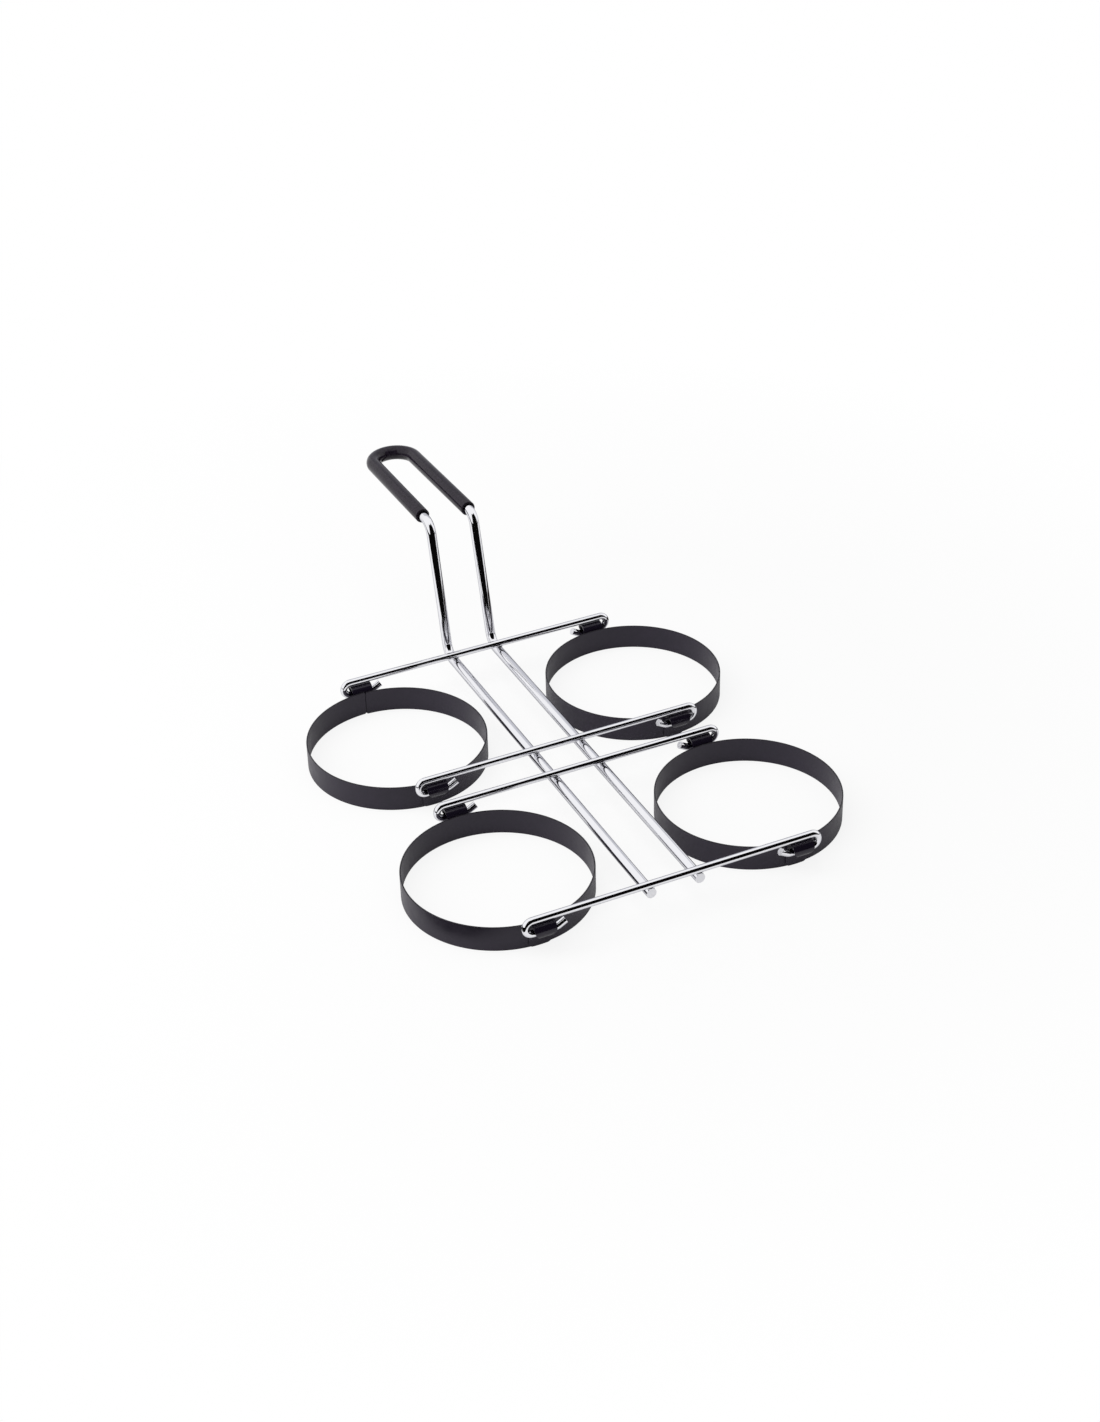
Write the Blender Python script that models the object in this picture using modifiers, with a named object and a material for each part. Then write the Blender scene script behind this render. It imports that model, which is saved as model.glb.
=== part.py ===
"""Egg ring set: four coated steel bands hung under a chromed wire frame with a sleeved loop handle.

Units are metres and +Z is up. +Y runs towards the handle and the cross wires lie along X. The bands
stand on z = 0, and the origin is on the floor at the middle of the whole set's outline.
"""

import math

import bpy
from mathutils import Vector

# Gap left between two solids that touch or are welded on the real object.
TOUCH_GAP = 0.0003

# Bands: rolled strip with its ends butted together, standing clear of the rails.
BAND_DIAMETER = 0.0900
BAND_HEIGHT = 0.0130
BAND_THICKNESS = 0.0007
BAND_TO_RAIL_GAP = 0.0058
BAND_STEPS = 88

# Ears: a strip welded to the outside of a band, curled outwards into an eye for the hook. The
# eye's mouth, between the curl's end and the strip, is narrower than the wire that it holds.
EAR_WIDTH = 0.0108
EAR_THICKNESS = 0.0008
EAR_EYE_BELOW_RIM = 0.00115
EAR_FOOT_HEIGHT = 0.0004
EAR_CURL_MOUTH = 0.0026
EAR_CURL_STEPS = 20

# Eyes: how much wider than the wire they are, and how far below level the wire lies in them.
EYE_PLAY = 0.0025
EYE_REST_ANGLE = math.radians(80)

# Cross wires: each end turns back under itself and carries one eye on its lower leg. Past the eye
# the leg bends up into a stop that ends just under the main run.
CROSS_WIRE_DIAMETER = 0.0035
MIDDLE_WIRE_SPACING = 0.0225
HOOK_HEADROOM = 0.0006
HOOK_END_PLAY = 0.0018
HOOK_STOP_CLEARANCE = 0.0003
HOOK_STOP_BEND_RADIUS = 0.0040
HOOK_STOP_REACH = 0.0042
HOOK_STOP_OPENING = 0.0012
WIRE_END_CHAMFER = 0.0004
HOOK_BEND_STEPS = 5
STOP_BEND_STEPS = 3

# Handle frame: one wire that makes two level rails, two leaning uprights and a closed loop. The
# two sides come a little closer together at the shoulders, and again at the loop.
FRAME_WIRE_DIAMETER = 0.0050
RAIL_SPACING = 0.0248
RAIL_OVERHANG = 0.0012
HEEL_CLEARANCE = 0.0029
HEEL_BEND_RADIUS = 0.0080
UPRIGHT_RISE = 0.0692
UPRIGHT_LEAN_ANGLE = math.radians(13.8)
SHOULDER_DRAW_IN = 0.0008
SHOULDER_BEND_RADIUS = 0.0070
LEG_REACH = 0.0771
LEG_FALL = 0.0024
LOOP_DRAW_IN = 0.0010
FRAME_BEND_STEPS = 6
LOOP_STEPS = 14

# Grip: a soft sleeve pushed round the loop, a little further along the right leg than the left.
GRIP_WALL = 0.0010
BARE_LEG_LEFT = 0.0042
BARE_LEG_RIGHT = 0.0002

# A round section has 4 + 2 x this number of sides.
WIRE_BEVEL_RESOLUTION = 3
GRIP_BEVEL_RESOLUTION = 4

# Two points nearer than this share of the wire or wall that they belong to are one point.
SAME_POINT_SHARE = 0.002

# Sizes of the eye, and where the hook's lower leg lies in it.
BAND_RADIUS = BAND_DIAMETER / 2
CROSS_WIRE_RADIUS = CROSS_WIRE_DIAMETER / 2
EYE_BORE_RADIUS = CROSS_WIRE_RADIUS + EYE_PLAY / 2
EYE_RADIUS = EYE_BORE_RADIUS + EAR_THICKNESS
EYE_OFFSET = TOUCH_GAP + EYE_RADIUS
EYE_HEIGHT = BAND_HEIGHT - EAR_EYE_BELOW_RIM
LEG_IN_EYE = EYE_PLAY / 2 - TOUCH_GAP
LEG_OFFSET = EYE_OFFSET + LEG_IN_EYE * math.cos(EYE_REST_ANGLE)
LEG_DROP = LEG_IN_EYE * math.sin(EYE_REST_ANGLE)

# Heights of the wires' centre lines.
HOOK_PITCH = LEG_DROP + EYE_RADIUS + HOOK_HEADROOM + CROSS_WIRE_RADIUS
FRAME_WIRE_RADIUS = FRAME_WIRE_DIAMETER / 2
LEG_HEIGHT = EYE_HEIGHT - LEG_DROP
CROSS_WIRE_HEIGHT = LEG_HEIGHT + HOOK_PITCH
RAIL_HEIGHT = CROSS_WIRE_HEIGHT - CROSS_WIRE_RADIUS - TOUCH_GAP - FRAME_WIRE_RADIUS
SHOULDER_HEIGHT = RAIL_HEIGHT + UPRIGHT_RISE
LOOP_HEIGHT = SHOULDER_HEIGHT - LEG_FALL

# Places measured from the middle of the four bands.
SHOULDER_SPACING = RAIL_SPACING - SHOULDER_DRAW_IN
LOOP_SPACING = SHOULDER_SPACING - LOOP_DRAW_IN
LOOP_RADIUS = LOOP_SPACING / 2
BAND_X = (RAIL_SPACING + FRAME_WIRE_DIAMETER) / 2 + BAND_TO_RAIL_GAP + BAND_RADIUS
INNER_WIRE_Y = MIDDLE_WIRE_SPACING / 2
BAND_Y = INNER_WIRE_Y + LEG_OFFSET + BAND_RADIUS
OUTER_WIRE_Y = BAND_Y + BAND_RADIUS + LEG_OFFSET
HOOK_TURN_X = BAND_X + EAR_WIDTH / 2 + HOOK_END_PLAY + CROSS_WIRE_RADIUS
HEEL_BEND_REACH = HEEL_BEND_RADIUS * math.tan((math.radians(90) - UPRIGHT_LEAN_ANGLE) / 2)
HEEL_Y = OUTER_WIRE_Y + HEEL_CLEARANCE + HEEL_BEND_REACH
SHOULDER_Y = HEEL_Y + UPRIGHT_RISE * math.tan(UPRIGHT_LEAN_ANGLE)
LOOP_Y = SHOULDER_Y + LEG_REACH

# The set's rear and front ends, and the origin's distance behind the middle of the bands.
GRIP_DIAMETER = FRAME_WIRE_DIAMETER + 2 * (TOUCH_GAP + GRIP_WALL)
REAR_END_Y = LOOP_Y + LOOP_RADIUS + GRIP_DIAMETER / 2
FRONT_END_Y = -(BAND_Y + BAND_RADIUS + EYE_OFFSET + EYE_RADIUS)
ORIGIN_Y = (REAR_END_Y + FRONT_END_Y) / 2

LEFT = -1
RIGHT = 1
REAR = 1
FRONT = -1


def clear_scene():
    """Remove every object of the open file."""
    for scene_object in list(bpy.data.objects):
        bpy.data.objects.remove(scene_object, do_unlink=True)


def new_material(name, colour, roughness, metallic):
    """Return a Principled material of one colour, given as linear red, green and blue."""
    material = bpy.data.materials.new(name)
    material.use_nodes = True
    shader = material.node_tree.nodes["Principled BSDF"]
    shader.inputs["Base Color"].default_value = (*colour, 1.0)
    shader.inputs["Roughness"].default_value = roughness
    shader.inputs["Metallic"].default_value = metallic
    return material


def place(part, parent, location=(0, 0, 0), rotation=(0, 0, 0)):
    """Link a part to the model's collection and set it in its place under its parent."""
    model.objects.link(part)
    part.parent = parent
    part.location = location
    part.rotation_euler = rotation
    return part


def without_repeats(points, nearest):
    """Drop each point that lies on the one before it."""
    kept = [points[0]]
    for point in points[1:]:
        if (point - kept[-1]).length > nearest:
            kept.append(point)
    return kept


def bend_reach(before, corner, after, radius):
    """Return how far from a corner the bend of this radius begins and ends."""
    return radius / math.tan((before - corner).angle(after - corner) / 2)


def bend(before, corner, after, radius, steps):
    """Return the points of the arc that rounds one corner of a bent wire."""
    back = (before - corner).normalized()
    ahead = (after - corner).normalized()
    reach = bend_reach(before, corner, after, radius)
    centre = corner + (back + ahead).normalized() * math.hypot(radius, reach)
    start = (corner + back * reach - centre).normalized()
    end = (corner + ahead * reach - centre).normalized()
    return [centre + radius * start.slerp(end, step / steps) for step in range(steps + 1)]


def chamfered(points, chamfer, wire_radius):
    """Add the two chamfers of a cut wire. Return the points and each one's share of the radius."""
    first = points[0] + (points[1] - points[0]).normalized() * chamfer
    last = points[-1] + (points[-2] - points[-1]).normalized() * chamfer
    path = [points[0], first, *points[1:-1], last, points[-1]]
    cut_share = 1 - chamfer / wire_radius
    shares = [cut_share, *[1] * (len(path) - 2), cut_share]
    return path, shares


def tube_curve(name, points, shares, diameter, bevel_resolution, caps):
    """Return a curve object: a round section of one diameter swept along a path of points."""
    curve = bpy.data.curves.new(name, "CURVE")
    curve.dimensions = "3D"
    curve.bevel_depth = diameter / 2
    curve.bevel_resolution = bevel_resolution
    curve.render_resolution_u = 0
    curve.use_fill_caps = caps
    spline = curve.splines.new("POLY")
    spline.points.add(len(points) - 1)
    for spline_point, point, share in zip(spline.points, points, shares):
        spline_point.co = (*point, 1)
        spline_point.radius = share
    return bpy.data.objects.new(name, curve)


def hook_path(side):
    """Return one end of a cross wire in its own XZ plane, from the cut end of its stop inwards."""
    stop_rise = HOOK_PITCH - CROSS_WIRE_DIAMETER - HOOK_STOP_OPENING
    stop_angle = math.atan2(stop_rise, HOOK_STOP_REACH)
    stop_corner_x = BAND_X - EAR_WIDTH / 2 - HOOK_STOP_CLEARANCE
    stop_corner_x -= HOOK_STOP_BEND_RADIUS * math.tan(stop_angle / 2)
    cut_end = Vector((side * (stop_corner_x - HOOK_STOP_REACH), 0, stop_rise))
    stop_corner = Vector((side * stop_corner_x, 0, 0))
    lower_turn = Vector((side * HOOK_TURN_X, 0, 0))
    upper_turn = Vector((side * HOOK_TURN_X, 0, HOOK_PITCH))
    middle = Vector((0, 0, HOOK_PITCH))
    turn_radius = HOOK_PITCH / 2
    path = [cut_end]
    path += bend(cut_end, stop_corner, lower_turn, HOOK_STOP_BEND_RADIUS, STOP_BEND_STEPS)
    path += bend(stop_corner, lower_turn, upper_turn, turn_radius, HOOK_BEND_STEPS)
    path += bend(lower_turn, upper_turn, middle, turn_radius, HOOK_BEND_STEPS)
    return path


def make_cross_wire(name, y):
    """Make one cross wire with a hook at each end, lying on the rails at y."""
    points = hook_path(LEFT) + list(reversed(hook_path(RIGHT)))
    points = without_repeats(points, SAME_POINT_SHARE * CROSS_WIRE_DIAMETER)
    points, shares = chamfered(points, WIRE_END_CHAMFER, CROSS_WIRE_RADIUS)
    wire = tube_curve(name, points, shares, CROSS_WIRE_DIAMETER, WIRE_BEVEL_RESOLUTION, True)
    wire.data.materials.append(chrome)
    return place(wire, middle_of_bands, (0, y, LEG_HEIGHT))


def shoulder_point(side):
    """Return the corner where an upright meets its leg of the handle."""
    return Vector((side * SHOULDER_SPACING / 2, SHOULDER_Y, SHOULDER_HEIGHT))


def heel_point(side):
    """Return the corner where a rail meets its upright."""
    return Vector((side * RAIL_SPACING / 2, HEEL_Y, RAIL_HEIGHT))


def loop_point(side):
    """Return where one leg of the handle meets the loop."""
    return Vector((side * LOOP_RADIUS, LOOP_Y, LOOP_HEIGHT))


def loop_arc():
    """Return the half circle that closes the handle, in the sloping plane of its legs."""
    slope = LEG_FALL / LEG_REACH
    points = []
    for step in range(LOOP_STEPS + 1):
        angle = math.pi * step / LOOP_STEPS
        across = -LOOP_RADIUS * math.cos(angle)
        beyond = LOOP_RADIUS * math.sin(angle)
        points.append(Vector((across, LOOP_Y + beyond, LOOP_HEIGHT - slope * beyond)))
    return points


def frame_side(side):
    """Return one rail and upright, from the rail's cut front end up to its leg of the handle."""
    rail_end = Vector((side * RAIL_SPACING / 2, -OUTER_WIRE_Y - RAIL_OVERHANG, RAIL_HEIGHT))
    heel = heel_point(side)
    shoulder = shoulder_point(side)
    path = [rail_end]
    path += bend(rail_end, heel, shoulder, HEEL_BEND_RADIUS, FRAME_BEND_STEPS)
    path += bend(heel, shoulder, loop_point(side), SHOULDER_BEND_RADIUS, FRAME_BEND_STEPS)
    return path


def make_handle_frame():
    """Make the single wire of the rails, the uprights and the handle's loop."""
    points = frame_side(LEFT) + loop_arc() + list(reversed(frame_side(RIGHT)))
    points, shares = chamfered(points, WIRE_END_CHAMFER, FRAME_WIRE_RADIUS)
    frame = tube_curve("handle_frame", points, shares, FRAME_WIRE_DIAMETER, WIRE_BEVEL_RESOLUTION, True)
    frame.data.materials.append(chrome)
    return place(frame, middle_of_bands)


def grip_end(side, bare_leg):
    """Return where the sleeve ends on one leg, this far past the bend of its shoulder."""
    shoulder = shoulder_point(side)
    start = loop_point(side)
    bare = bend_reach(heel_point(side), shoulder, start, SHOULDER_BEND_RADIUS) + bare_leg
    return shoulder + (start - shoulder).normalized() * bare


def make_handle_grip():
    """Make the sleeve: an open tube round the loop, thickened inwards to its wall."""
    points = [grip_end(LEFT, BARE_LEG_LEFT), *loop_arc(), grip_end(RIGHT, BARE_LEG_RIGHT)]
    shares = [1] * len(points)
    guide = tube_curve("grip_guide", points, shares, GRIP_DIAMETER, GRIP_BEVEL_RESOLUTION, False)
    model.objects.link(guide)
    evaluated = guide.evaluated_get(bpy.context.evaluated_depsgraph_get())
    mesh = bpy.data.meshes.new_from_object(evaluated)
    bpy.data.objects.remove(guide, do_unlink=True)
    mesh.name = "handle_grip"
    mesh.materials.clear()
    mesh.materials.append(sleeve_vinyl)
    mesh.shade_smooth()
    grip = bpy.data.objects.new("handle_grip", mesh)
    wall = grip.modifiers.new("sleeve_wall", "SOLIDIFY")
    wall.thickness = GRIP_WALL
    wall.offset = -1
    wall.use_even_offset = True
    return place(grip, middle_of_bands)


def make_band(name, carrier):
    """Make one band: its rectangular section turned once round."""
    inner = BAND_RADIUS - BAND_THICKNESS
    corners = [(BAND_RADIUS, 0, BAND_HEIGHT), (BAND_RADIUS, 0, 0), (inner, 0, 0), (inner, 0, BAND_HEIGHT)]
    edges = [(0, 1), (1, 2), (2, 3), (3, 0)]
    mesh = bpy.data.meshes.new(name)
    mesh.from_pydata(corners, edges, [])
    mesh.materials.append(coated_steel)
    band = bpy.data.objects.new(name, mesh)
    turn = band.modifiers.new("turned_section", "SCREW")
    turn.axis = "Z"
    turn.angle = math.tau
    turn.steps = BAND_STEPS
    turn.render_steps = BAND_STEPS
    turn.use_merge_vertices = True
    turn.merge_threshold = SAME_POINT_SHARE * BAND_THICKNESS
    return place(band, carrier)


def ear_outline():
    """Return an ear's outline: x is the distance out from the band's face and y is the height."""
    centre = Vector((EYE_OFFSET, EYE_HEIGHT))
    curl_end = math.acos((EAR_THICKNESS + EAR_CURL_MOUTH) / EYE_RADIUS - 1)
    sweep = math.pi + curl_end
    angles = [math.pi - sweep * step / EAR_CURL_STEPS for step in range(EAR_CURL_STEPS + 1)]
    outer = [centre + EYE_RADIUS * Vector((math.cos(angle), math.sin(angle))) for angle in angles]
    inner = [centre + EYE_BORE_RADIUS * Vector((math.cos(angle), math.sin(angle))) for angle in angles]
    foot_back = Vector((TOUCH_GAP, EAR_FOOT_HEIGHT))
    foot_front = Vector((TOUCH_GAP + EAR_THICKNESS, EAR_FOOT_HEIGHT))
    return [foot_back, *outer, *reversed(inner), foot_front]


def make_ear(name, carrier, end):
    """Make one ear on the rear or front of a band, with its eye's axis along X."""
    outline = ear_outline()
    curve = bpy.data.curves.new(name, "CURVE")
    curve.dimensions = "2D"
    curve.fill_mode = "BOTH"
    curve.extrude = EAR_WIDTH / 2
    curve.render_resolution_u = 0
    spline = curve.splines.new("POLY")
    spline.points.add(len(outline) - 1)
    for spline_point, point in zip(spline.points, outline):
        spline_point.co = (*point, 0, 1)
    spline.use_cyclic_u = True
    curve.materials.append(coated_steel)
    ear = bpy.data.objects.new(name, curve)
    return place(ear, carrier, (0, end * BAND_RADIUS, 0), (math.radians(90), 0, end * math.radians(90)))


def make_ring(name, side, end):
    """Make one band and its two ears under an empty that slides along the hooks' lower legs."""
    carrier = bpy.data.objects.new(f"carrier_{name}", None)
    place(carrier, middle_of_bands, (side * BAND_X, end * BAND_Y, 0))
    make_band(f"band_{name}", carrier)
    make_ear(f"handle_side_ear_{name}", carrier, REAR)
    make_ear(f"tip_side_ear_{name}", carrier, FRONT)


clear_scene()
model = bpy.data.collections.new("egg_ring_set")
bpy.context.scene.collection.children.link(model)
chrome = new_material("chromed_steel_wire", (0.62, 0.62, 0.63), 0.08, 1.0)
coated_steel = new_material("non_stick_coated_steel", (0.042, 0.038, 0.046), 0.42, 0.0)
sleeve_vinyl = new_material("black_vinyl_sleeve", (0.030, 0.028, 0.032), 0.45, 0.0)
middle_of_bands = place(bpy.data.objects.new("middle_of_bands", None), None, (0, -ORIGIN_Y, 0))

make_handle_frame()
make_handle_grip()
make_cross_wire("rear_cross_wire", OUTER_WIRE_Y)
make_cross_wire("mid_rear_cross_wire", INNER_WIRE_Y)
make_cross_wire("mid_front_cross_wire", -INNER_WIRE_Y)
make_cross_wire("front_cross_wire", -OUTER_WIRE_Y)
make_ring("rear_left", LEFT, REAR)
make_ring("rear_right", RIGHT, REAR)
make_ring("front_left", LEFT, FRONT)
make_ring("front_right", RIGHT, FRONT)
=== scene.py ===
"""Looks of the egg ring set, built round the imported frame.

A chromed wire frame with a sleeved loop handle carries four coated steel bands, which hang by
curled ears in the hooks of its cross wires. Lengths are metres in the frame's own axes: +Z is up
and +Y runs towards the handle.
"""

import logging
import math
from dataclasses import dataclass, field
from enum import Enum
from functools import partial

import bpy
from bpy.types import Material, Mesh, Node, NodeSocket, NodeTree, Object, World
from mathutils import Matrix, Vector


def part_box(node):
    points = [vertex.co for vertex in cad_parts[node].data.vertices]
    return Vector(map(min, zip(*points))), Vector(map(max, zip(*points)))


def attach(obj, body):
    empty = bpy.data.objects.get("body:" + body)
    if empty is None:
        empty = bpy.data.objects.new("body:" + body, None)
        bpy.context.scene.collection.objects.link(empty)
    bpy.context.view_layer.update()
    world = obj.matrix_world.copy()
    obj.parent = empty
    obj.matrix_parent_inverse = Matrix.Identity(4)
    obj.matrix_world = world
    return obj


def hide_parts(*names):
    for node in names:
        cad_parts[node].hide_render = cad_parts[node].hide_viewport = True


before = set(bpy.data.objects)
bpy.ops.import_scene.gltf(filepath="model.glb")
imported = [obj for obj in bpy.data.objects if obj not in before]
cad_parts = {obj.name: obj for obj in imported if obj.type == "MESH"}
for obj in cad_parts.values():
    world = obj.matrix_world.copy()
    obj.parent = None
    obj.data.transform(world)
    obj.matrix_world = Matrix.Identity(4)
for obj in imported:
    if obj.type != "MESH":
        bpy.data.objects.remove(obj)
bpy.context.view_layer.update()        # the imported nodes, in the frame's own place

LOG = logging.getLogger("egg_ring_set")

MM = 0.001
CROSS_WIRE_DIAMETER = 3.5 * MM
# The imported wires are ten-sided, so their flats lie this share of a radius from the centre line.
FLAT_SHARE = math.cos(math.pi / 10)
# Points of a path that lie closer together than this share of the wire's radius are one point.
NEAREST_SHARE = 0.01
# A cloud noise hardly leaves this range, which is stretched to the values that it stands for.
NOISE_LOW, NOISE_HIGH = 0.3, 0.7
CLOUD_OCTAVES = 3.0
# Edges of a walled sheet that turn by more than this are rounded, in so many steps.
SHARP_ANGLE = math.radians(50)
ROUNDING_STEPS = 3

Source = Node | NodeSocket
Pair = tuple[float, float]
Point = tuple[float, float, float]


class Side(Enum):
    """Side of the set, as a sign along X."""

    LEFT = -1
    RIGHT = 1


class End(Enum):
    """End of a ring or of the set, as a sign along Y."""

    HANDLE = 1
    TIP = -1


class Wall(Enum):
    """Side of a sheet on which its wall lies, as the modifier counts it."""

    INSIDE = -1
    BOTH_SIDES = 0


class Slot(Enum):
    """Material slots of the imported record."""

    CHROMED_WIRE = "chromed_wire"
    COATED_STEEL = "coated_steel"
    VINYL_SLEEVE = "vinyl_sleeve"


def linear(hex_colour: str) -> tuple[float, float, float, float]:
    """Turn an sRGB hex colour into a linear one.

    Args:
        hex_colour: The colour, such as "#3A373E".

    Returns:
        Red, green, blue and an alpha of 1.
    """
    shares = [int(hex_colour[start:start + 2], 16) / 255 for start in (1, 3, 5)]
    return (*[s / 12.92 if s <= 0.04045 else ((s + 0.055) / 1.055) ** 2.4 for s in shares], 1.0)


def add_node(tree: NodeTree, kind: str, settings: dict | None = None, links: dict | None = None) -> Node:
    """Add a node to a tree with its settings and its incoming links.

    Args:
        tree: The tree that gets the node.
        kind: The identifier of the node's type.
        settings: Values by property name, or by the name or index of an input socket.
        links: Output sockets, or nodes for their first output, by the name or index of the
            input socket that they feed.

    Returns:
        The new node.
    """
    node = tree.nodes.new(kind)
    for key, value in (settings or {}).items():
        if isinstance(key, str) and hasattr(node, key):
            setattr(node, key, value)
        else:
            node.inputs[key].default_value = value
    for key, source in (links or {}).items():
        tree.links.new(source.outputs[0] if isinstance(source, Node) else source, node.inputs[key])
    return node


def empty_tree(owner: Material | World) -> NodeTree:
    """Give a material or a world an empty node tree.

    Args:
        owner: The material or world.

    Returns:
        Its tree.
    """
    owner.use_nodes = True
    owner.node_tree.nodes.clear()
    return owner.node_tree


@dataclass(frozen=True)
class Grain:
    """Bumps of a real spacing and depth, with octaves of finer ones on them."""

    spacing: float
    depth: float
    octaves: float


class MaterialMaker:
    """A material in the making, with the object coordinates that its patterns read."""

    def __init__(self, name: str) -> None:
        """Make the material of that name, with an empty tree.

        Args:
            name: The material's name.
        """
        self.material = bpy.data.materials.new(name)
        self.tree = empty_tree(self.material)
        self.add = partial(add_node, self.tree)
        self.place = self.add("ShaderNodeTexCoord").outputs["Object"]

    def clouds(self, spacing: float, values: Pair = (0.0, 1.0)) -> Node:
        """Add soft clouds of noise that run from one value to another.

        Args:
            spacing: Distance from one cloud to the next.
            values: Value between the clouds, and value in them.

        Returns:
            The node that gives the value.
        """
        noise = self.add("ShaderNodeTexNoise", {"Scale": 1 / spacing, "Detail": CLOUD_OCTAVES},
                         {"Vector": self.place})
        return self.add("ShaderNodeMapRange",
                        {1: NOISE_LOW, 2: NOISE_HIGH, 3: values[0], 4: values[1]}, {0: noise})

    def bumps(self, grain: Grain, place: Source, below: Node | None = None) -> Node:
        """Add the bumps of a grain.

        Args:
            grain: Its sizes.
            place: The coordinates that it follows, in metres.
            below: The coarser bumps that it lies on.

        Returns:
            The node that gives the normal.
        """
        noise = self.add("ShaderNodeTexNoise", {"Scale": 1 / grain.spacing, "Detail": grain.octaves},
                         {"Vector": place})
        links = {"Height": noise} if below is None else {"Height": noise, "Normal": below}
        return self.add("ShaderNodeBump", {"Distance": grain.depth}, links)

    def close(self, surface: Node) -> Material:
        """Give the material its surface, and return it."""
        self.add("ShaderNodeOutputMaterial", links={"Surface": surface})
        return self.material


@dataclass(frozen=True)
class ChromePlate:
    """Bright nickel-chrome plate on drawn steel wire.

    A hard mirror: it shows its surroundings in crisp streaks, which waver a little where the
    plate follows the drawn wire under it. It darkens towards its outline, and is matt on the
    wire's sheared ends.
    """

    name: str = "nickel_chrome_plate"
    colour: str = "#F1F1F5"
    outline_tint: str = "#ACACB2"
    polish: Pair = (0.035, 0.09)
    cut_roughness: float = 0.42
    smudge_spacing: float = 7.0 * MM
    waver: Grain = Grain(spacing=7.0 * MM, depth=0.0012 * MM, octaves=1.0)
    # Die lines are some hundredths of a millimetre apart, and are drawn ten times as coarse to show.
    die_lines: Grain = Grain(spacing=0.45 * MM, depth=0.0005 * MM, octaves=2.0)
    die_line_length: float = 40.0 * MM

    def build(self) -> Material:
        """Make the plate's material.

        Returns:
            The material.
        """
        maker = MaterialMaker(self.name)
        add, place = maker.add, maker.place
        along = add("ShaderNodeAttribute", {"attribute_name": "wire_grain"}).outputs["Vector"]
        cut = add("ShaderNodeAttribute", {"attribute_name": "cut_end"}).outputs["Fac"]
        stretch = self.die_lines.spacing / self.die_line_length
        lines = add("ShaderNodeMapping", {"Scale": (1.0, 1.0, stretch)}, {"Vector": along})
        drawn = maker.bumps(self.die_lines, lines, maker.bumps(self.waver, place))
        roughness = add("ShaderNodeMix", {"data_type": "FLOAT", 3: self.cut_roughness},
                        {0: cut, 2: maker.clouds(self.smudge_spacing, self.polish)})
        return maker.close(add(
            "ShaderNodeBsdfPrincipled",
            {"Base Color": linear(self.colour), "Specular Tint": linear(self.outline_tint), "Metallic": 1.0},
            {"Roughness": roughness, "Normal": drawn}))


@dataclass(frozen=True)
class NonStickCoating:
    """Sprayed and cured non-stick coating on steel strip.

    A satin black with a breath of purple and the faint orange peel of a sprayed coat. Its rounded edges
    are painted near black, unevenly along them, as painted shade; it is smoother and glossier on the
    curled ears.
    """

    name: str = "non_stick_coating"
    colour: str = "#1E1926"
    mottle: str = "#28222F"
    # Painted shade: the near-black colour that the rounded edges of the bands are painted with.
    edge: str = "#09080B"
    curl: str = "#181320"
    sheen_tint: str = "#F8F4FF"
    sheen: float = 0.44
    gloss: Pair = (0.36, 0.46)
    curl_gloss: Pair = (0.15, 0.22)
    mottle_spacing: float = 5.0 * MM
    # Orange peel is about 0.3 mm from hump to hump, and is drawn coarser to show.
    peel: Grain = Grain(spacing=0.7 * MM, depth=0.012 * MM, octaves=3.0)
    # The painted shade on the rounded edges varies along them at this spacing, between these shares.
    painted_rim_shade_spacing: float = 9.0 * MM
    painted_rim_shade_share: Pair = (0.6, 1.0)

    def build(self) -> Material:
        """Make the coating's material.

        Returns:
            The material.
        """
        maker = MaterialMaker(self.name)
        add = maker.add
        rim, curled = (add("ShaderNodeAttribute", {"attribute_name": name}).outputs["Fac"]
                       for name in ("rim", "curled"))
        # Painted shade: the rounded edges are mixed unevenly towards the near-black edge colour.
        uneven = maker.clouds(self.painted_rim_shade_spacing, self.painted_rim_shade_share)
        painted_rim_shade = add("ShaderNodeMath", {"operation": "MULTIPLY"}, {0: rim, 1: uneven})
        coat = add("ShaderNodeMix", {"data_type": "RGBA", 6: linear(self.colour), 7: linear(self.mottle)},
                   {0: maker.clouds(self.mottle_spacing)}).outputs[2]
        for share, colour in ((painted_rim_shade, self.edge), (curled, self.curl)):
            coat = add("ShaderNodeMix", {"data_type": "RGBA", 7: linear(colour)},
                       {0: share, 6: coat}).outputs[2]
        satin, smooth = (maker.clouds(self.mottle_spacing, gloss) for gloss in (self.gloss, self.curl_gloss))
        roughness = add("ShaderNodeMix", {"data_type": "FLOAT"}, {0: curled, 2: satin, 3: smooth})
        return maker.close(add(
            "ShaderNodeBsdfPrincipled",
            {"Specular Tint": linear(self.sheen_tint), "Specular IOR Level": self.sheen},
            {"Base Color": coat, "Roughness": roughness, "Normal": maker.bumps(self.peel, maker.place)}))


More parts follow.
